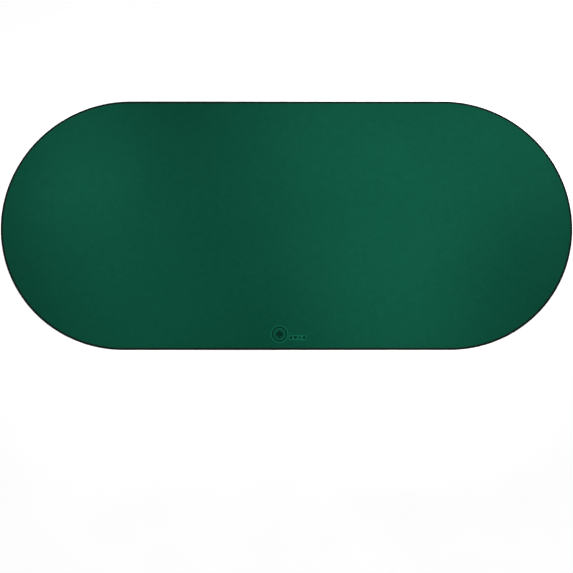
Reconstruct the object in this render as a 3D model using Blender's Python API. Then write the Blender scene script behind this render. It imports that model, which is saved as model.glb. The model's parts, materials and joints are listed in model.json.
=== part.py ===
"""A roll-up poker table top: speed cloth laminated to a thin foam-rubber base, with rounded ends.

The mat lies flat, centred on the origin, with its length along X and its playing surface up. Its only
motion is rolling up. The two layers are therefore divided across their length into strips, each a body
of its own with a foam piece and a cloth piece, and each strip hinges on the one before it along Y, at
the playing surface, which ends up inside the roll. When every hinge is bent by a seventh of a turn, the
mat is a loose roll of four turns. The strips get narrower from the outer end of the roll to the inner
end, so that its layers clear each other there and on the way. All sizes are in metres.
"""

import math

import bmesh
import bpy

# The mat.
LENGTH = 1.829
WIDTH = 0.808
FOAM_THICKNESS = 0.0022
CLOTH_THICKNESS = 0.0005
FACETS_PER_QUARTER_ARC = 60

# The strips, from the roll's outer end at -X. Each is narrower than the one before it by this ratio.
STRIP_COUNT = 29
NARROWING = 0.980

# Clearances between pieces that touch on the real mat.
GLUE_GAP = 0.0003
STRIP_GAP = 0.0003

# Each material's name, colour (linear RGB with alpha), roughness and metallic value.
CLOTH_FINISH = ("speed_cloth_green", (0.006, 0.082, 0.049, 1.0), 0.85, 0.0)
FOAM_FINISH = ("foam_rubber_black", (0.012, 0.012, 0.012, 1.0), 0.95, 0.0)

END_RADIUS = WIDTH / 2
STRAIGHT_HALF = LENGTH / 2 - END_RADIUS
CLOTH_BOTTOM = FOAM_THICKNESS + GLUE_GAP
CLOTH_TOP = CLOTH_BOTTOM + CLOTH_THICKNESS


def clear_scene():
    for item in list(bpy.data.objects):
        bpy.data.objects.remove(item, do_unlink=True)


def make_material(name, colour, roughness, metallic):
    material = bpy.data.materials.new(name)
    material.use_nodes = True
    shader = material.node_tree.nodes["Principled BSDF"]
    shader.inputs["Base Color"].default_value = colour
    shader.inputs["Roughness"].default_value = roughness
    shader.inputs["Metallic"].default_value = metallic
    material.diffuse_color = colour
    return material


def strip_borders():
    """The X of every border between strips, with the mat's two ends, from -X to +X."""
    widest = LENGTH * (1 - NARROWING) / (1 - NARROWING**STRIP_COUNT)
    borders = [-LENGTH / 2]
    for index in range(STRIP_COUNT - 1):
        borders.append(borders[-1] + widest * NARROWING**index)
    borders.append(LENGTH / 2)
    return borders


def arc_corners():
    """The X of the corners between the facets of both end arcs, tips left out, from -X to +X."""
    angles = [math.pi / 2 * k / FACETS_PER_QUARTER_ARC for k in range(1, FACETS_PER_QUARTER_ARC + 1)]
    left = [-STRAIGHT_HALF - END_RADIUS * math.cos(angle) for angle in angles]
    return left + [-x for x in reversed(left)]


def half_width(x):
    """Half the mat's width at x."""
    past_straight = max(abs(x) - STRAIGHT_HALF, 0)
    return math.sqrt(max(END_RADIUS**2 - past_straight**2, 0))


def strip_outline(x_low, x_high):
    """One strip's outline, anticlockwise: along the front edge, then back along the back edge."""
    inside = [x for x in arc_corners() if x_low + STRIP_GAP < x < x_high - STRIP_GAP]
    stations = [x_low] + inside + [x_high]
    front = [(x, -half_width(x)) for x in stations]
    back = [(x, half_width(x)) for x in reversed(stations) if half_width(x) > 0]
    return front + back


def add_slab(name, outline, bottom, top, hinge_x, material):
    """A flat slab with this outline, with its origin on its own strip's hinge line."""
    slab = bmesh.new()
    lower = [slab.verts.new((x - hinge_x, y, bottom - CLOTH_TOP)) for x, y in outline]
    base = slab.faces.new(lower)
    extruded = bmesh.ops.extrude_face_region(slab, geom=[base])["geom"]
    raised = [item for item in extruded if isinstance(item, bmesh.types.BMVert)]
    bmesh.ops.translate(slab, verts=raised, vec=(0, 0, top - bottom))
    bmesh.ops.recalc_face_normals(slab, faces=slab.faces)
    mesh = bpy.data.meshes.new(name)
    slab.to_mesh(mesh)
    slab.free()
    mesh.materials.append(material)
    item = bpy.data.objects.new(name, mesh)
    item.location = (hinge_x, 0, CLOTH_TOP)
    bpy.context.collection.objects.link(item)


def add_strip(number, x_low, x_high, foam_material, cloth_material):
    """One strip of the mat: a foam piece and the cloth on it, which move together."""
    low = x_low if number == 1 else x_low + STRIP_GAP / 2
    high = x_high if number == STRIP_COUNT else x_high - STRIP_GAP / 2
    outline = strip_outline(low, high)
    add_slab(f"foam_base_{number:02d}", outline, 0, FOAM_THICKNESS, x_low, foam_material)
    add_slab(f"speed_cloth_{number:02d}", outline, CLOTH_BOTTOM, CLOTH_TOP, x_low, cloth_material)


def main():
    clear_scene()
    foam_material = make_material(*FOAM_FINISH)
    cloth_material = make_material(*CLOTH_FINISH)
    borders = strip_borders()
    for number, (x_low, x_high) in enumerate(zip(borders, borders[1:]), start=1):
        add_strip(number, x_low, x_high, foam_material, cloth_material)


main()
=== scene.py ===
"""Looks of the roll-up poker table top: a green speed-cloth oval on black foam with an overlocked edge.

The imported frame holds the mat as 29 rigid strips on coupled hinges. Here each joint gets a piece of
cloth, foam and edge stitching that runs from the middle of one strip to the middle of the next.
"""

import json
import math

import bmesh
import bpy
import numpy as np
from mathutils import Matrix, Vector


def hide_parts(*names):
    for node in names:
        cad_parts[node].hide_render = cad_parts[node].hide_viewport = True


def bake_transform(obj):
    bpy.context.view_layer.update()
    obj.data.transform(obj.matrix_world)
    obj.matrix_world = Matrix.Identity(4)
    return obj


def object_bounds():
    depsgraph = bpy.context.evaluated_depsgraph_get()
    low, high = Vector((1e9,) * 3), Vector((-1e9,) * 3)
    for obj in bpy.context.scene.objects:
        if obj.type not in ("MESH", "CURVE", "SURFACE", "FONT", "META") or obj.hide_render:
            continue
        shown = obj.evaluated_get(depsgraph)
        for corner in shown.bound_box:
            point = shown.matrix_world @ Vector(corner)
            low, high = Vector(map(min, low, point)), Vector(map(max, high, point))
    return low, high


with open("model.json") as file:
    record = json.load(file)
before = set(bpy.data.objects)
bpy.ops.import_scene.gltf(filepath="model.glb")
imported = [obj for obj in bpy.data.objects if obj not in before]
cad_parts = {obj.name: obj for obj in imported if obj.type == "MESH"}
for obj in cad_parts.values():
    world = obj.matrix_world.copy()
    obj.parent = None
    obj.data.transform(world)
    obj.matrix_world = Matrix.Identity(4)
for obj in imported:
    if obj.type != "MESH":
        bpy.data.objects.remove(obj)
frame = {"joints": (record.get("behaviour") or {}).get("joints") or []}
cad_low, cad_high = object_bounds()

# ---------------------------------------------------------------- sizes, in metres
HALF_LENGTH = cad_high.x
END_RADIUS = cad_high.y
STRAIGHT_HALF = HALF_LENGTH - END_RADIUS
MAT_TOP = cad_high.z
CLOTH_THICKNESS = 0.00055
LAYER_GAP = 0.00001         # from the border between foam and cloth to each of them

# The edge, from the outline inwards. All of these are distances from the outline.
RIM_INSET = 0.0005          # the thread round the rim makes up the rest of the outline
RIM_RADIUS = 0.00095        # the pinched edge is rounded
RIM_END = RIM_INSET + RIM_RADIUS
BAND_MIDDLE = 0.0031
BAND_WIDTH = 0.0061         # the stitched band, from the outline to the needle line
PUFF_CENTRE = 0.0092        # the cloth swells a little inside the needle line
PINCH_END = 0.0114          # where the mat has its full thickness again
PUFF_SPREAD = 0.0022

# The edge's heights.
BAND_TOP = MAT_TOP - 0.00048
BAND_BOTTOM = 0.00062
RIM_MIDDLE = (BAND_TOP + BAND_BOTTOM) / 2
PUFF_HEIGHT = 0.00009

# The threads.
STITCH = 0.0021
THREAD_HALF_WIDTH = 0.00062     # the thread that wraps the edge
THREAD_HALF_HEIGHT = 0.00025
FINE_HALF_WIDTH = 0.00034       # the needle and looper threads
FINE_HALF_HEIGHT = 0.00022
NEEDLE_LINE = BAND_WIDTH + 0.00035
WRAP_END = BAND_WIDTH + 0.0002  # the wrapping thread dips into the mat here
WRAP_FLAT = BAND_WIDTH - 0.0006
WRAP_RETURN = BAND_WIDTH - 0.0003
WRAP_LIFT = 0.85 * THREAD_HALF_HEIGHT
WRAP_SUNK = 0.2 * WRAP_LIFT
SLIM = 0.88                     # how slim a stitch is where another piece has the same stitch

# The bed of looped thread between the stitches.
BED_ROWS = (BAND_WIDTH - 0.0001, 0.0038, 0.0025, RIM_END)
BED_LIFT = 0.00007
BED_TUCKED_LIFT = 0.00003
BED_DEPTH = 0.0003
BED_UNDERCUT = 0.0002
BED_STEP = 0.0022

# Where neighbouring pieces overlap.
SHINGLE = 0.00004           # how far a piece's end lies under its neighbour
SPARE = 0.0003              # overlap at the middle of a strip that doesn't open
SHEET_TUCK = 0.0004         # how far past the overlap the sheets stay tucked
BED_TUCK = 0.001

# The meshes.
COLUMN = 0.003              # longest step along the mat
SHORTEST_STEP = 0.0004
TIP_TURN = 0.011            # radians from one column to the next at the oval's tips
MERGE_DISTANCE = 2e-6
SHARP_ANGLE = math.radians(50)

# ---------------------------------------------------------------- strips and joints
JOINTS = sorted(frame["joints"], key=lambda j: j["pos_m"][0])
HINGES = [j["pos_m"][0] for j in JOINTS]
BORDERS = [-HALF_LENGTH] + HINGES + [HALF_LENGTH]
LENGTHS = [b - a for a, b in zip(BORDERS, BORDERS[1:])]
CENTRES = [(a + b) / 2 for a, b in zip(BORDERS, BORDERS[1:])]
STRIPS_PER_TURN = 7
STRIP_TURN = 2 * math.pi / STRIPS_PER_TURN
# How much of a joint's bend lies past the middle of each strip, as a share of the whole bend, for the
# strips of one turn. Both joints beside a strip have the same share there, so their pieces meet, and
# with these shares they meet at almost the same slope. A turn's first strip stays flat at the bottom of
# the roll: the bends beside it stop short of its middle.
OVERHANGS = [-0.13, 0.40, 0.297, 0.318, 0.318, 0.297, 0.40]


def overhang(strip):
    return OVERHANGS[strip % STRIPS_PER_TURN]


def bend(piece):
    """Bakes the piece's placement into its mesh."""
    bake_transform(piece)


def smooth(t):
    t = min(max(t, 0.0), 1.0)
    return t * t * (3 - 2 * t)


def margin(strip):
    """Spare length of a piece past the middle of this strip. Rolled up, its neighbour draws away by
    twice as much, most of all on the underside, which lies outside in the roll."""
    angle = STRIP_TURN * smooth(overhang(strip))
    opening = LENGTHS[strip] * (1 - math.cos(angle)) + 2 * MAT_TOP * math.sin(angle)
    return 0.5 * opening + SPARE


# ---------------------------------------------------------------- the mat's shape
def half_width(x, inset=0.0):
    """Half the mat's width at x, or less where inset moves the outline inwards."""
    past = max(abs(x) - STRAIGHT_HALF, 0.0)
    return math.sqrt(max((END_RADIUS - inset) ** 2 - past * past, 0.0))


def edge_distance(x, y):
    """How far a point lies inside the outline."""
    past = max(abs(x) - STRAIGHT_HALF, 0.0)
    return END_RADIUS - math.hypot(past, y)


def rim_curve(distance):
    """0 at the rim's outermost point, 1 where the rim's rounding ends."""
    t = min(max((distance - RIM_INSET) / RIM_RADIUS, 0.0), 1.0)
    return math.sqrt(1 - (1 - t) ** 2)


def top_height(distance):
    """The cloth's upper surface, at a distance inside the outline."""
    band = RIM_MIDDLE + (BAND_TOP - RIM_MIDDLE) * rim_curve(distance)
    rise = smooth((distance - BAND_WIDTH) / (PINCH_END - BAND_WIDTH))
    puff = PUFF_HEIGHT * math.exp(-((distance - PUFF_CENTRE) / PUFF_SPREAD) ** 2)
    return band + (MAT_TOP - BAND_TOP) * rise + puff


def bottom_height(distance):
    """The foam's underside, which the stitching lifts off the table."""
    band = RIM_MIDDLE + (BAND_BOTTOM - RIM_MIDDLE) * rim_curve(distance)
    rise = smooth((distance - BAND_WIDTH) / (PINCH_END - BAND_WIDTH))
    return band * (1 - rise)


def seam_height(distance):
    """The border between foam and cloth."""
    return max(top_height(distance) - CLOTH_THICKNESS, RIM_MIDDLE)


# Rows of points along the sheets, as distances from the outline: close together over the rim and the
# stitched band, and even from there to the middle.
EDGE_ROWS = [0.0, 0.00006, 0.0002, 0.0005, 0.00095, 0.002, 0.0032, 0.0042, 0.0052, 0.0062, 0.0074,
             0.0086, 0.0098, 0.012, 0.018]
MIDDLE_ROWS = [0.03 + 0.0285 * k for k in range(13)]
ROWS = [RIM_INSET + d for d in EDGE_ROWS] + [d for d in MIDDLE_ROWS if d < END_RADIUS - 0.01]


def columns(start, end):
    """Positions along the mat from start to end, closer together at the tips of the oval."""
    tip = HALF_LENGTH - RIM_INSET
    radius = END_RADIUS - RIM_INSET
    arc_count = math.ceil(math.asin(COLUMN / (radius * TIP_TURN)) / TIP_TURN + 0.5)
    arc = [STRAIGHT_HALF + radius * math.cos(TIP_TURN * k) for k in range(arc_count)]
    inner = arc[-1]
    count = math.ceil(2 * inner / COLUMN)
    even = [-inner + 2 * inner * k / count for k in range(1, count)]
    start = max(start, -tip)
    end = min(end, tip)
    stations = [-x for x in arc] + arc + even
    inside = sorted(x for x in stations if start + SHORTEST_STEP < x < end - SHORTEST_STEP)
    return [start] + inside + [end]


def new_object(name, verts, faces, material, uvs):
    """uvs holds each point's place on the flat mat, or along its thread, in metres."""
    mesh = bpy.data.meshes.new(name)
    mesh.from_pydata(verts, [], faces)
    layer = mesh.uv_layers.new(name="Rest")
    loops = np.empty(len(mesh.loops), dtype=np.int32)
    mesh.loops.foreach_get("vertex_index", loops)
    layer.data.foreach_set("uv", np.asarray(uvs, dtype=np.float32)[loops].ravel())
    mesh.materials.append(material)
    obj = bpy.data.objects.new(name, mesh)
    bpy.context.scene.collection.objects.link(obj)
    return obj


def sheet_mesh(name, start, end, upper, lower, material):
    """A closed thin slab of the oval between two positions along it, with rows that follow its edge."""
    xs = columns(start, end)
    sides = [(-1, d) for d in ROWS] + [(0, END_RADIUS)] + [(1, d) for d in reversed(ROWS)]
    verts, uvs = [], []
    for surface in (upper, lower):
        for x in xs:
            for side, inset in sides:
                y = side * half_width(x, inset)
                verts.append((x, y, surface(x, edge_distance(x, y))))
                uvs.append((x, y))
    wide = len(sides)
    layer = len(xs) * wide
    faces = []
    for i in range(len(xs) - 1):
        for k in range(wide - 1):
            a = i * wide + k
            faces.append((a, a + wide, a + wide + 1, a + 1))
            faces.append((layer + a, layer + a + 1, layer + a + wide + 1, layer + a + wide))
    for i in range(len(xs) - 1):
        a, b = i * wide, (i + 1) * wide
        faces.append((a, layer + a, layer + b, b))
        a, b = a + wide - 1, b + wide - 1
        faces.append((a, b, layer + b, layer + a))
    last = (len(xs) - 1) * wide
    for k in range(wide - 1):
        faces.append((k, k + 1, layer + k + 1, layer + k))
        a = last + k
        faces.append((a, layer + a, layer + a + 1, a + 1))
    obj = new_object(name, verts, faces, material, uvs)
    bm = bmesh.new()
    bm.from_mesh(obj.data)
    bmesh.ops.remove_doubles(bm, verts=bm.verts, dist=MERGE_DISTANCE)
    bmesh.ops.dissolve_degenerate(bm, edges=bm.edges, dist=MERGE_DISTANCE / 2)
    bm.to_mesh(obj.data)
    bm.free()
    obj.data.shade_smooth()
    obj.data.set_sharp_from_angle(angle=SHARP_ANGLE)
    return obj


def tucked(surface, tuck_end, shift):
    """The surface, shifted up to the position tuck_end, where it lies inside the piece before."""
    def height(x, distance):
        return surface(distance) + (shift if x < tuck_end else 0.0)
    return height


# ---------------------------------------------------------------- stitching
QUARTER = END_RADIUS * math.pi / 2
HALF_ROUND = 2 * QUARTER + 2 * STRAIGHT_HALF
STITCHES = 2 * round(HALF_ROUND / STITCH)
PITCH = 2 * HALF_ROUND / STITCHES


def edge_frame(s):
    """Point on the outline and outward direction there, s metres along it from the left tip."""
    s = (s + HALF_ROUND) % (2 * HALF_ROUND) - HALF_ROUND
    side = 1 if s >= 0 else -1
    a = abs(s)
    if a <= QUARTER:
        turn = a / END_RADIUS
        centre, out = -STRAIGHT_HALF, (-math.cos(turn), math.sin(turn))
    elif a <= QUARTER + 2 * STRAIGHT_HALF:
        centre, out = -STRAIGHT_HALF + a - QUARTER, (0.0, 1.0)
    else:
        turn = (a - QUARTER - 2 * STRAIGHT_HALF) / END_RADIUS
        centre, out = STRAIGHT_HALF, (math.sin(turn), math.cos(turn))
    point = (centre + END_RADIUS * out[0], side * END_RADIUS * out[1])
    return point, (out[0], side * out[1])


def outline_length_at(x):
    """Distance along the outline from the left tip to the position x."""
    if x < -STRAIGHT_HALF:
        return END_RADIUS * math.acos(min(1.0, (-STRAIGHT_HALF - x) / END_RADIUS))
    if x <= STRAIGHT_HALF:
        return QUARTER + x + STRAIGHT_HALF
    return QUARTER + 2 * STRAIGHT_HALF + END_RADIUS * math.asin(min(1.0, (x - STRAIGHT_HALF) / END_RADIUS))


def wrap_section():
    """One turn of the edge thread: (share of the pitch, distance from the edge, height, normal). It
    runs outwards on the cloth, round the rim, back on the underside, and up to the next stitch."""
    outwards = ((0.0, WRAP_END, WRAP_SUNK), (0.05, WRAP_FLAT, WRAP_LIFT),
                (0.15, BAND_MIDDLE, WRAP_LIFT), (0.24, RIM_END, WRAP_LIFT))
    round_rim = ((0.31, 52), (0.37, 17), (0.43, -17), (0.49, -52))
    inwards = ((0.56, RIM_END, WRAP_LIFT), (0.65, BAND_MIDDLE, WRAP_LIFT),
               (0.74, WRAP_FLAT, WRAP_LIFT), (0.79, WRAP_END, WRAP_SUNK))
    points = [(share, d, top_height(d) + lift, (0.0, 1.0)) for share, d, lift in outwards]
    for share, angle in round_rim:
        out_part = math.cos(math.radians(angle))
        up_part = math.sin(math.radians(angle))
        d = RIM_END - (RIM_RADIUS + WRAP_LIFT) * out_part
        z = RIM_MIDDLE + (BAND_TOP - RIM_MIDDLE + WRAP_LIFT) * up_part
        points.append((share, d, z, (out_part, up_part)))
    points += [(share, d, bottom_height(d) - lift, (0.0, -1.0)) for share, d, lift in inwards]
    points.append((0.90, WRAP_RETURN, RIM_MIDDLE, (-1.0, 0.0)))
    return points


def needle_section():
    """One stitch of the needle line: it lies on the cloth and dips at its start."""
    height = top_height(NEEDLE_LINE)
    lifts = ((0.04, -0.6), (0.2, 0.75), (0.5, 1.0), (0.8, 0.75))
    return [(share, NEEDLE_LINE, height + THREAD_HALF_HEIGHT * lift, (0.0, 1.0)) for share, lift in lifts]


def looper_section():
    """The lower thread: short stitches on the underside, dipping at their starts."""
    height = bottom_height(NEEDLE_LINE)
    lifts = ((0.04, -0.6), (0.2, 0.7), (0.5, 0.9), (0.8, 0.7))
    return [(share, NEEDLE_LINE, height - THREAD_HALF_HEIGHT * lift, (0.0, -1.0)) for share, lift in lifts]


def stitch_place(i):
    """Position along the mat of the middle of a stitch."""
    return edge_frame((i + 0.5) * PITCH)[0][0]


def thread_tube(section, stitches, shared_end, half_width_m, half_height_m, sides, verts, faces, uvs):
    """Adds a flattened thread that repeats section over these stitches. The ones that the piece
    before also has, up to shared_end, are a little slimmer and lie inside its stitches."""
    path, normals, scale = [], [], []
    for i in stitches:
        slim = SLIM if stitch_place(i) <= shared_end else 1.0
        for share, d, z, (out_part, up_part) in section:
            point, out = edge_frame((i + share) * PITCH)
            path.append((point[0] - out[0] * d, point[1] - out[1] * d, z))
            normals.append((out[0] * out_part, out[1] * out_part, up_part))
            scale.append(slim)
    path, normals, scale = np.array(path), np.array(normals), np.array(scale)[:, None]
    tangent = np.gradient(path, axis=0)
    tangent /= np.linalg.norm(tangent, axis=1)[:, None]
    across = np.cross(tangent, normals)
    across /= np.linalg.norm(across, axis=1)[:, None]
    normals = np.cross(across, tangent)
    run = np.concatenate([[0.0], np.cumsum(np.linalg.norm(np.diff(path, axis=0), axis=1))])
    base = len(verts)
    angles = [2 * math.pi * k / sides for k in range(sides)]
    rings = [path + scale * (half_width_m * math.cos(a) * across + half_height_m * math.sin(a) * normals)
             for a in angles]
    around = 2 * math.pi * half_width_m / sides
    for n in range(len(path)):
        for k in range(sides):
            verts.append(tuple(rings[k][n]))
            uvs.append((run[n], around * k))
    for n in range(len(path) - 1):
        for k in range(sides):
            a = base + n * sides + k
            b = base + n * sides + (k + 1) % sides
            faces.append((a, b, b + sides, a + sides))
    faces.append(tuple(base + k for k in reversed(range(sides))))
    end = base + (len(path) - 1) * sides
    faces.append(tuple(end + k for k in range(sides)))


def sleeve_profile(lift):
    """Closed section of the bed of looped thread: (distance from the edge, height), lift off the mat."""
    profile = [(d, top_height(d) + lift) for d in BED_ROWS]
    for angle in (60, 30, 0, -30, -60):
        a = math.radians(angle)
        profile.append((RIM_END - (RIM_RADIUS + lift) * math.cos(a),
                        RIM_MIDDLE + (BAND_TOP - RIM_MIDDLE + lift) * math.sin(a)))
    profile += [(d, bottom_height(d) - lift) for d in reversed(BED_ROWS)]
    inner = []
    for d, z in reversed(profile):
        inner_d = min(d + BED_UNDERCUT, BAND_WIDTH) if d < RIM_END else d
        inner_z = z - BED_DEPTH if z > RIM_MIDDLE else z + BED_DEPTH
        inner.append((inner_d, inner_z))
    return profile + inner


def sleeve(s_start, s_end, shared_end, verts, faces, uvs):
    """The flat bed of looped thread under the stitches, wrapped round the edge. It lies closer to the
    mat where the piece before covers it."""
    loop = sleeve_profile(BED_LIFT)
    tucked_loop = sleeve_profile(BED_TUCKED_LIFT)
    count = max(2, math.ceil((s_end - s_start) / BED_STEP))
    base = len(verts)
    lengths = [0.0]
    for (d0, z0), (d1, z1) in zip(loop, loop[1:]):
        lengths.append(lengths[-1] + math.hypot(d1 - d0, z1 - z0))
    for i in range(count + 1):
        s = s_start + (s_end - s_start) * i / count
        point, out = edge_frame(s)
        section = tucked_loop if point[0] <= shared_end + BED_TUCK else loop
        for (d, z), along in zip(section, lengths):
            verts.append((point[0] - out[0] * d, point[1] - out[1] * d, z))
            uvs.append((along, s))
    n = len(loop)
    for i in range(count):
        for k in range(n):
            a = base + i * n + k
            b = base + i * n + (k + 1) % n
            faces.append((a, a + n, b + n, b))
    faces.append(tuple(base + k for k in range(n)))
    end = base + count * n
    faces.append(tuple(end + k for k in reversed(range(n))))


def edge_runs(start, end):
    """The stretches of outline between two positions along the mat, as distances from the left tip."""
    if start <= -HALF_LENGTH:
        reach = outline_length_at(end)
        return [(-reach, reach)]
    if end >= HALF_LENGTH:
        reach = outline_length_at(start)
        return [(reach, 2 * HALF_ROUND - reach)]
    a, b = outline_length_at(start), outline_length_at(end)
    return [(a, b), (-b, -a)]


def edge_thread(name, start, end, shared_end, material):
    """All the edge stitching between two positions along the mat, as one object."""
    verts, faces, uvs = [], [], []
    for a, b in edge_runs(start, end):
        near = range(math.floor(a / PITCH) - 1, math.ceil(b / PITCH) + 1)
        stitches = [i for i in near if start <= stitch_place(i) <= end]
        thread_tube(wrap_section(), stitches, shared_end, THREAD_HALF_WIDTH, THREAD_HALF_HEIGHT, 6,
                    verts, faces, uvs)
        for section in (needle_section(), looper_section()):
            thread_tube(section, stitches, shared_end, FINE_HALF_WIDTH, FINE_HALF_HEIGHT, 5,
                        verts, faces, uvs)
        sleeve(a, b, shared_end, verts, faces, uvs)
    obj = new_object(name, verts, faces, material, uvs)
    obj.data.shade_smooth()
    return obj


# ---------------------------------------------------------------- printed emblem
HALO_HEIGHT = MAT_TOP + 0.000025
INK_HEIGHT = MAT_TOP + 0.000045
INK_DEPTH = 0.00004
INK_STEP = 0.000004         # between shapes of one print that lie over each other
EMBLEM_CENTRE = (-0.0220, -0.3539)
EMBLEM_RADIUS = 0.0240
EMBLEM_LINE = 0.0050
EMBLEM_SPADE = 0.0125
HALO = 0.0034               # width of the lighter border outside the ring
INNER_HALO = 0.6 * HALO     # and inside it
PIP_SIZE = 0.0058           # the four small card suits beside the ring
PIP_BORDER = 0.0078
PIP_START = (0.0142, -0.3651)
PIP_SPACING = 0.0137
PIP_CENTRES = [(PIP_START[0] + PIP_SPACING * k, PIP_START[1]) for k in range(4)]


def circle(radius, count=96):
    return [(radius * math.cos(2 * math.pi * k / count), radius * math.sin(2 * math.pi * k / count))
            for k in range(count)]


def bezier(p0, p1, p2, p3, count=14):
    """Points along a cubic curve, without its last one."""
    points = []
    for k in range(count):
        t = k / count
        shares = ((1 - t) ** 3, 3 * (1 - t) ** 2 * t, 3 * (1 - t) * t * t, t ** 3)
        x, y = (sum(s * p[axis] for s, p in zip(shares, (p0, p1, p2, p3))) for axis in (0, 1))
        points.append((x, y))
    return points


def mirrored(right_side):
    """A closed outline from its right half, which runs from the top point down to the bottom one."""
    return right_side + [(-x, y) for x, y in reversed(right_side) if abs(x) > 1e-9]


def heart():
    right = bezier((0, 0.55), (0.22, 1.05), (0.98, 0.98), (0.95, 0.35))
    right += bezier((0.95, 0.35), (0.92, -0.1), (0.3, -0.45), (0, -0.95))
    return [mirrored(right + [(0, -0.95)])]


def diamond():
    right = bezier((0, 1.0), (0.2, 0.6), (0.45, 0.25), (0.72, 0))
    right += bezier((0.72, 0), (0.45, -0.25), (0.2, -0.6), (0, -1.0))
    return [mirrored(right + [(0, -1.0)])]


def stem(top):
    right = bezier((0, top), (0.05, top), (0.06, top), (0.09, top), 3)
    right += bezier((0.09, top), (0.1, -0.65), (0.2, -0.85), (0.42, -0.97))
    return mirrored(right + [(0, -0.97)])


def spade():
    right = bezier((0, 1.0), (0.2, 0.55), (0.92, 0.3), (0.9, -0.2))
    right += bezier((0.9, -0.2), (0.86, -0.72), (0.22, -0.72), (0.08, -0.28))
    return [mirrored(right + [(0, -0.25)]), stem(-0.18)]


def club():
    leaf = circle(0.44, 40)
    leaves = [[(x + cx, y + cy) for x, y in leaf] for cx, cy in ((0, 0.53), (0.47, -0.16), (-0.47, -0.16))]
    return leaves + [stem(0.2)]


def stadium(start, end, radius, count=24):
    """A closed outline with round ends, from one centre to another along the mat."""
    turns = [math.pi * (k / count - 0.5) for k in range(count + 1)]
    right = [(end[0] + radius * math.cos(a), end[1] + radius * math.sin(a)) for a in turns]
    left = [(start[0] - radius * math.cos(a), start[1] - radius * math.sin(a)) for a in turns]
    return right + left


def print_shape(outlines, centre, size, height, verts, faces, uvs):
    """Adds flat ink shapes, each a closed outline in units of size round its centre."""
    for step, outline in enumerate(outlines):
        base = len(verts)
        count = len(outline)
        level = height + INK_STEP * step
        for z in (level, level - INK_DEPTH):
            for x, y in outline:
                px, py = centre[0] + x * size, centre[1] + y * size
                verts.append((px, py, z))
                uvs.append((px, py))
        faces.append(tuple(base + k for k in reversed(range(count))))
        faces.append(tuple(base + count + k for k in range(count)))
        for k in range(count):
            n = (k + 1) % count
            faces.append((base + k, base + n, base + count + n, base + count + k))


def ring_shape(centre, outer, inner, height, verts, faces, uvs):
    """Adds a flat ring of ink."""
    count = 96
    base = len(verts)
    for radius in (outer, inner):
        for z in (height, height - INK_DEPTH):
            for x, y in circle(radius, count):
                verts.append((centre[0] + x, centre[1] + y, z))
                uvs.append((centre[0] + x, centre[1] + y))
    for k in range(count):
        n = (k + 1) % count
        o0, o1, i0, i1 = base + k, base + n, base + 2 * count + k, base + 2 * count + n
        faces.append((o0, o1, i1, i0))
        faces.append((o0 + count, i0 + count, i1 + count, o1 + count))
        faces.append((o0, o0 + count, o1 + count, o1))
        faces.append((i0, i1, i1 + count, i0 + count))


def piece_index(x):
    """The joint whose piece covers this position along the mat."""
    return max(k for k in range(len(JOINTS)) if CENTRES[k] <= x)


def add_print(name, home, lists, material):
    """One object of ink, numbered after the mat's piece that it is printed on."""
    verts, faces, uvs = lists
    obj = new_object(f"{name}_{home + 1:02d}", verts, faces, material, uvs)
    bm = bmesh.new()
    bm.from_mesh(obj.data)
    bmesh.ops.recalc_face_normals(bm, faces=bm.faces)
    bmesh.ops.triangulate(bm, faces=[f for f in bm.faces if len(f.verts) > 4])
    bm.to_mesh(obj.data)
    bm.free()
    bend(obj)


# ---------------------------------------------------------------- materials
def node_material(name):
    """A new material, with its nodes, links and shader."""
    material = bpy.data.materials.new(name)
    material.use_nodes = True
    nodes, links = material.node_tree.nodes, material.node_tree.links
    shader = nodes["Principled BSDF"]
    return material, nodes, links, shader


def rest_position(nodes, links, scale):
    """Positions on the flat mat, in units of scale per metre."""
    uv = nodes.new("ShaderNodeUVMap")
    uv.uv_map = "Rest"
    mapping = nodes.new("ShaderNodeMapping")
    mapping.inputs["Scale"].default_value = (scale, scale, scale)
    links.new(uv.outputs["UV"], mapping.inputs["Vector"])
    return mapping


def grey(value):
    """A shade of grey for a ramp, as linear RGB with alpha."""
    return (value, value, value, 1)


def noise_node(nodes, links, coords, scale, detail, rough=0.55):
    noise = nodes.new("ShaderNodeTexNoise")
    noise.inputs["Scale"].default_value = scale
    noise.inputs["Detail"].default_value = detail
    noise.inputs["Roughness"].default_value = rough
    links.new(coords.outputs[0], noise.inputs["Vector"])
    return noise


def ramp_node(nodes, links, source, stops):
    ramp = nodes.new("ShaderNodeValToRGB")
    ramp.color_ramp.elements[0].position, ramp.color_ramp.elements[0].color = stops[0]
    ramp.color_ramp.elements[1].position, ramp.color_ramp.elements[1].color = stops[-1]
    for position, colour in stops[1:-1]:
        element = ramp.color_ramp.elements.new(position)
        element.color = colour
    links.new(source, ramp.inputs["Fac"])
    return ramp


def wave_node(nodes, links, coords, scale, angle, distortion=0.0):
    """Parallel bands, turned by an angle in degrees."""
    turned = nodes.new("ShaderNodeMapping")
    turned.inputs["Rotation"].default_value = (0, 0, math.radians(angle))
    links.new(coords.outputs[0], turned.inputs["Vector"])
    wave = nodes.new("ShaderNodeTexWave")
    wave.wave_type = "BANDS"
    wave.bands_direction = "X"
    wave.inputs["Scale"].default_value = scale
    wave.inputs["Distortion"].default_value = distortion
    wave.inputs["Detail"].default_value = 0.0
    links.new(turned.outputs[0], wave.inputs["Vector"])
    return wave


def math_node(nodes, links, operation, a, b):
    """The result of a sum or product, where a and b are numbers or other nodes' results."""
    node = nodes.new("ShaderNodeMath")
    node.operation = operation
    for socket, value in zip(node.inputs, (a, b)):
        if isinstance(value, (int, float)):
            socket.default_value = value
        else:
            links.new(value, socket)
    return node.outputs[0]


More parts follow.
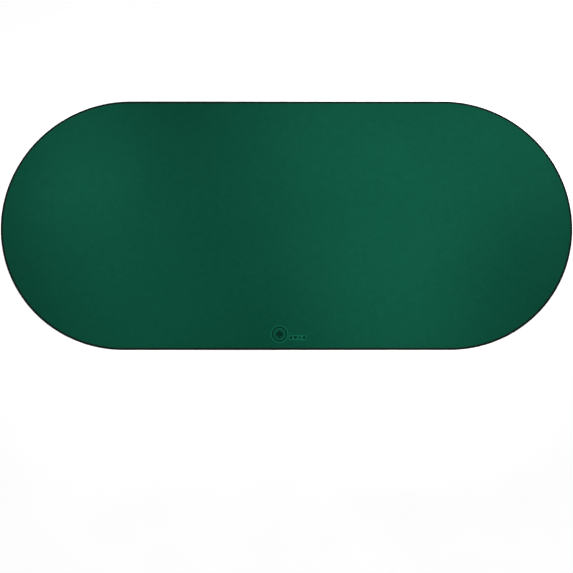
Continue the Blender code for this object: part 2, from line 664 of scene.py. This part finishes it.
def shaded(nodes, links, base, layers):
    """The base ramp's colour, darkened and lightened by each layer's ramp in turn."""
    colour = base.outputs["Color"]
    for layer in layers:
        node = nodes.new("ShaderNodeMix")
        node.data_type = "RGBA"
        node.blend_type = "MULTIPLY"
        factor, first, second = node.inputs[0], node.inputs[6], node.inputs[7]
        factor.default_value = 1.0
        links.new(colour, first)
        links.new(layer.outputs["Color"], second)
        colour = node.outputs[2]
    return colour


def bump_node(nodes, links, height, strength, distance, before=None):
    bump = nodes.new("ShaderNodeBump")
    bump.inputs["Strength"].default_value = strength
    bump.inputs["Distance"].default_value = distance
    links.new(height, bump.inputs["Height"])
    if before is not None:
        links.new(before.outputs["Normal"], bump.inputs["Normal"])
    return bump


def weave_height(nodes, links, coords):
    """A fine twill: yarns across, crossed by a diagonal rib. coords are in millimetres."""
    across = wave_node(nodes, links, coords, 0.42, 0, 0.3)
    along = wave_node(nodes, links, coords, 0.42, 90, 0.3)
    twill = wave_node(nodes, links, coords, 0.16, 45, 0.2)
    yarns = math_node(nodes, links, "MULTIPLY", across.outputs["Fac"], along.outputs["Fac"])
    return math_node(nodes, links, "ADD", math_node(nodes, links, "MULTIPLY", yarns, 0.6),
                     math_node(nodes, links, "MULTIPLY", twill.outputs["Fac"], 0.4))


def speed_cloth_material():
    """Green woven polyester: cloudy over decimetres, mottled over millimetres, with twill and fibres. The
    weave's hollows are painted darker and its yarns lighter: painted shade.
    """
    material, nodes, links, shader = node_material("speed_cloth_green")
    mm = rest_position(nodes, links, 1000.0)
    metre = rest_position(nodes, links, 1.0)
    weave = weave_height(nodes, links, mm)
    cloudy = noise_node(nodes, links, metre, 3.2, 3.0)
    patchy = noise_node(nodes, links, metre, 42.0, 4.0, 0.6)
    mottled = noise_node(nodes, links, metre, 190.0, 1.0)
    fibres = noise_node(nodes, links, mm, 1.4, 3.0, 0.7)
    base = ramp_node(nodes, links, cloudy.outputs["Fac"], [
        (0.30, (0.0020, 0.0440, 0.0250, 1)),
        (0.70, (0.0025, 0.0476, 0.0271, 1)),
    ])
    speckle = ramp_node(nodes, links, patchy.outputs["Fac"], [
        (0.25, grey(0.93)),
        (0.75, grey(1.07)),
    ])
    nap = ramp_node(nodes, links, mottled.outputs["Fac"], [
        (0.25, (0.89, 0.90, 0.90, 1)),
        (0.75, (1.11, 1.10, 1.10, 1)),
    ])
    # Painted shade: darker in the hollows of the weave and lighter on the yarns, from the same height as
    # the weave's bump.
    weave_shade = ramp_node(nodes, links, weave, [
        (0.05, (0.78, 0.80, 0.80, 1)),
        (0.80, (1.10, 1.09, 1.09, 1)),
    ])
    fluff = ramp_node(nodes, links, fibres.outputs["Fac"], [
        (0.25, grey(0.90)),
        (0.75, grey(1.10)),
    ])
    links.new(shaded(nodes, links, base, (speckle, nap, weave_shade, fluff)), shader.inputs["Base Color"])
    shader.inputs["Roughness"].default_value = 0.72
    shader.inputs["Specular IOR Level"].default_value = 0.08
    shader.inputs["Specular Tint"].default_value = (0.12, 0.75, 0.50, 1)
    shader.inputs["Sheen Weight"].default_value = 0.01
    shader.inputs["Sheen Roughness"].default_value = 0.45
    shader.inputs["Sheen Tint"].default_value = (0.20, 0.85, 0.60, 1)
    soft = bump_node(nodes, links, patchy.outputs["Fac"], 0.25, 0.0006)
    fine = bump_node(nodes, links, weave, 0.45, 0.00012, soft)
    links.new(fine.outputs["Normal"], shader.inputs["Normal"])
    return material


def foam_material():
    """Black foam rubber, embossed with shallow diamonds where two sets of bands cross. Its colour is
    painted darker between the diamonds and lighter on them: painted shade and light.
    """
    material, nodes, links, shader = node_material("foam_rubber_black")
    mm = rest_position(nodes, links, 1000.0)
    one = wave_node(nodes, links, mm, 0.105, 30)
    two = wave_node(nodes, links, mm, 0.105, -30)
    dots = math_node(nodes, links, "MULTIPLY", one.outputs["Fac"], two.outputs["Fac"])
    grain = noise_node(nodes, links, mm, 1.8, 3.0)
    wear = noise_node(nodes, links, mm, 0.03, 4.0)
    tone = ramp_node(nodes, links, wear.outputs["Fac"], [
        (0.30, (0.0105, 0.0105, 0.0108, 1)),
        (0.75, (0.0185, 0.0182, 0.0178, 1)),
    ])
    # Painted shade and light: darker in the emboss's hollows, lighter on its raised diamonds.
    emboss_shade = ramp_node(nodes, links, dots, [
        (0.15, grey(0.80)),
        (0.65, grey(1.25)),
    ])
    links.new(shaded(nodes, links, tone, (emboss_shade,)), shader.inputs["Base Color"])
    gloss = ramp_node(nodes, links, grain.outputs["Fac"], [
        (0.3, grey(0.70)),
        (0.7, grey(0.88)),
    ])
    links.new(gloss.outputs["Color"], shader.inputs["Roughness"])
    shader.inputs["Specular IOR Level"].default_value = 0.28
    pores = bump_node(nodes, links, grain.outputs["Fac"], 0.35, 0.0001)
    emboss = bump_node(nodes, links, dots, 0.9, 0.0005, pores)
    links.new(emboss.outputs["Normal"], shader.inputs["Normal"])
    return material


def thread_material():
    """Black twisted thread with a little lint. Its colour is painted darker in the grooves of the twist:
    painted shade.
    """
    material, nodes, links, shader = node_material("edge_thread_black")
    mm = rest_position(nodes, links, 1000.0)
    twist = wave_node(nodes, links, mm, 0.55, 55, 0.4)
    lint = noise_node(nodes, links, mm, 2.5, 3.0, 0.7)
    tone = ramp_node(nodes, links, lint.outputs["Fac"], [
        (0.25, (0.0021, 0.0050, 0.0036, 1)),
        (0.75, (0.0044, 0.0095, 0.0070, 1)),
    ])
    # Painted shade: darker in the grooves of the twist, from the same bands as its bump.
    twist_shade = ramp_node(nodes, links, twist.outputs["Fac"], [
        (0.1, grey(0.65)),
        (0.8, grey(1.20)),
    ])
    links.new(shaded(nodes, links, tone, (twist_shade,)), shader.inputs["Base Color"])
    shader.inputs["Roughness"].default_value = 0.62
    shader.inputs["Specular IOR Level"].default_value = 0.06
    bump = bump_node(nodes, links, twist.outputs["Fac"], 0.6, 0.00012)
    links.new(bump.outputs["Normal"], shader.inputs["Normal"])
    return material


def ink_material(name, light, dark):
    """Ink printed on the cloth, a little worn, with the weave showing through; the weave's hollows are
    painted darker and its yarns lighter: painted shade.
    """
    material, nodes, links, shader = node_material(name)
    mm = rest_position(nodes, links, 1000.0)
    weave = weave_height(nodes, links, mm)
    worn = noise_node(nodes, links, mm, 0.9, 4.0, 0.75)
    ink = ramp_node(nodes, links, worn.outputs["Fac"], [
        (0.34, dark),
        (0.72, light),
    ])
    # Painted shade: darker in the hollows of the weave under the ink, lighter on its yarns.
    ink_weave_shade = ramp_node(nodes, links, weave, [
        (0.05, grey(0.80)),
        (0.80, grey(1.12)),
    ])
    links.new(shaded(nodes, links, ink, (ink_weave_shade,)), shader.inputs["Base Color"])
    shader.inputs["Roughness"].default_value = 0.6
    shader.inputs["Specular IOR Level"].default_value = 0.08
    shader.inputs["Specular Tint"].default_value = (0.12, 0.75, 0.50, 1)
    fine = bump_node(nodes, links, weave, 0.4, 0.0001)
    links.new(fine.outputs["Normal"], shader.inputs["Normal"])
    return material


def floor_material():
    """Plain pale paper."""
    material, nodes, links, shader = node_material("studio_floor")
    coords = nodes.new("ShaderNodeTexCoord")
    mapping = nodes.new("ShaderNodeMapping")
    links.new(coords.outputs["Object"], mapping.inputs["Vector"])
    grain = noise_node(nodes, links, mapping, 3.0, 2.0)
    tone = ramp_node(nodes, links, grain.outputs["Fac"], [
        (0.3, grey(0.95)),
        (0.7, grey(0.93)),
    ])
    links.new(tone.outputs["Color"], shader.inputs["Base Color"])
    shader.inputs["Roughness"].default_value = 0.9
    shader.inputs["Specular IOR Level"].default_value = 0.1
    return material


# ---------------------------------------------------------------- building the mat
cloth_green = speed_cloth_material()
foam_black = foam_material()
thread_black = thread_material()
ink_dark = ink_material("emblem_ink_dark", (0.0010, 0.0185, 0.0097, 1), (0.0005, 0.0115, 0.0060, 1))
ink_light = ink_material("emblem_ink_light", (0.0042, 0.0870, 0.0475, 1), (0.0033, 0.0720, 0.0390, 1))


def add_mat_piece(index):
    """Foam, cloth and edge stitching of one joint, from the middle of one strip to that of the next."""
    number = f"{index + 1:02d}"
    is_first = index == 0
    is_last = index == len(JOINTS) - 1
    start = -HALF_LENGTH if is_first else CENTRES[index] - margin(index)
    end = HALF_LENGTH if is_last else CENTRES[index + 1] + margin(index + 1)
    shared_end = -HALF_LENGTH if is_first else CENTRES[index] + margin(index)
    tuck_end = shared_end + SHEET_TUCK
    foam_top = tucked(lambda d: seam_height(d) - LAYER_GAP, tuck_end, -SHINGLE)
    foam_bottom = tucked(bottom_height, tuck_end, SHINGLE)
    cloth_top = tucked(top_height, tuck_end, -SHINGLE)
    cloth_bottom = tucked(lambda d: seam_height(d) + LAYER_GAP, tuck_end, -SHINGLE)

    foam = sheet_mesh(f"foam_sheet_{number}", start, end, foam_top, foam_bottom, foam_black)
    cloth = sheet_mesh(f"speed_cloth_sheet_{number}", start, end, cloth_top, cloth_bottom, cloth_green)
    thread = edge_thread(f"edge_thread_run_{number}", start, end, shared_end, thread_black)
    for piece in (foam, cloth, thread):
        bend(piece)
    strips = [number] + ([f"{index + 2:02d}"] if is_last else [])
    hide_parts(*[f"foam_base_{strip}" for strip in strips])
    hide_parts(*[f"speed_cloth_{strip}" for strip in strips])


def add_emblem():
    """The ring with its spade, the row of suits beside it, and the lighter borders of both."""
    ring_home = piece_index(EMBLEM_CENTRE[0])
    pip_home = piece_index(PIP_CENTRES[0][0])
    ink = {home: ([], [], []) for home in (ring_home, pip_home)}
    halo = {home: ([], [], []) for home in (ring_home, pip_home)}
    print_shape(spade(), EMBLEM_CENTRE, EMBLEM_SPADE, INK_HEIGHT, *ink[ring_home])
    for outlines, centre in zip((spade(), heart(), diamond(), club()), PIP_CENTRES):
        print_shape(outlines, centre, PIP_SIZE, INK_HEIGHT, *ink[pip_home])
    pip_border = stadium(PIP_CENTRES[0], PIP_CENTRES[-1], PIP_BORDER)
    print_shape([pip_border], (0, 0), 1.0, HALO_HEIGHT, *halo[pip_home])
    hole = EMBLEM_RADIUS - EMBLEM_LINE
    ring_shape(EMBLEM_CENTRE, EMBLEM_RADIUS, hole, INK_HEIGHT, *ink[ring_home])
    ring_shape(EMBLEM_CENTRE, EMBLEM_RADIUS + HALO, hole - INNER_HALO, HALO_HEIGHT, *halo[ring_home])
    for home, lists in sorted(ink.items()):
        add_print("emblem_print", home, lists, ink_dark)
    for home, lists in sorted(halo.items()):
        add_print("emblem_border", home, lists, ink_light)


for index in range(len(JOINTS)):
    add_mat_piece(index)
add_emblem()

# ---------------------------------------------------------------- floor, light and camera
FLOOR_SIZE = 80.0
FLOOR_DROP = 0.0002         # the floor lies this much below the mat's underside
bpy.ops.mesh.primitive_plane_add(size=FLOOR_SIZE, location=(0, 0, -FLOOR_DROP))
floor = bpy.context.active_object
floor.name = "floor"
floor.data.materials.append(floor_material())

world = bpy.data.worlds.new("studio")
bpy.context.scene.world = world
world.use_nodes = True
background = world.node_tree.nodes["Background"]
background.inputs["Color"].default_value = (1.0, 1.0, 1.0, 1)
background.inputs["Strength"].default_value = 1.05


def soft_light(name, place, size, spread, power):
    """A soft box with a grid, facing straight down. Its spread is in radians, its power in watts."""
    data = bpy.data.lights.new(name, "AREA")
    data.shape = "RECTANGLE"
    data.size, data.size_y = size
    data.spread = spread
    data.energy = power
    light = bpy.data.objects.new(name, data)
    light.location = place
    light.visible_camera = False
    bpy.context.scene.collection.objects.link(light)


soft_light("right_back_light", (0.47, 0.26, 1.19), (1.23, 0.37), 0.87, 2.61)
soft_light("right_front_light", (0.34, -0.27, 1.88), (0.48, 0.30), 0.50, 0.97)
soft_light("left_back_light", (-0.67, 0.19, 1.39), (0.30, 0.48), 0.50, 0.56)
soft_light("left_front_light", (-0.44, -0.24, 1.26), (0.43, 0.51), 0.64, 0.53)

# The camera looks down from a little in front of the mat, at the middle of the picture on the table.
CAMERA_DISTANCE = 1.8
CAMERA_TILT = math.radians(5.52)
CAMERA_TARGET = (0.0, -0.2037)
CAMERA_SENSOR = 36.0        # millimetres, as the lens
CAMERA_LENS = 35.68
camera_data = bpy.data.cameras.new("camera")
camera_data.sensor_width = CAMERA_SENSOR
camera_data.lens = CAMERA_LENS
camera = bpy.data.objects.new("camera", camera_data)
camera.location = (CAMERA_TARGET[0], CAMERA_TARGET[1] - CAMERA_DISTANCE * math.sin(CAMERA_TILT),
                   CAMERA_DISTANCE * math.cos(CAMERA_TILT))
camera.rotation_euler = (CAMERA_TILT, 0, 0)
bpy.context.scene.collection.objects.link(camera)
bpy.context.scene.camera = camera
bpy.context.scene.view_settings.view_transform = "Standard"
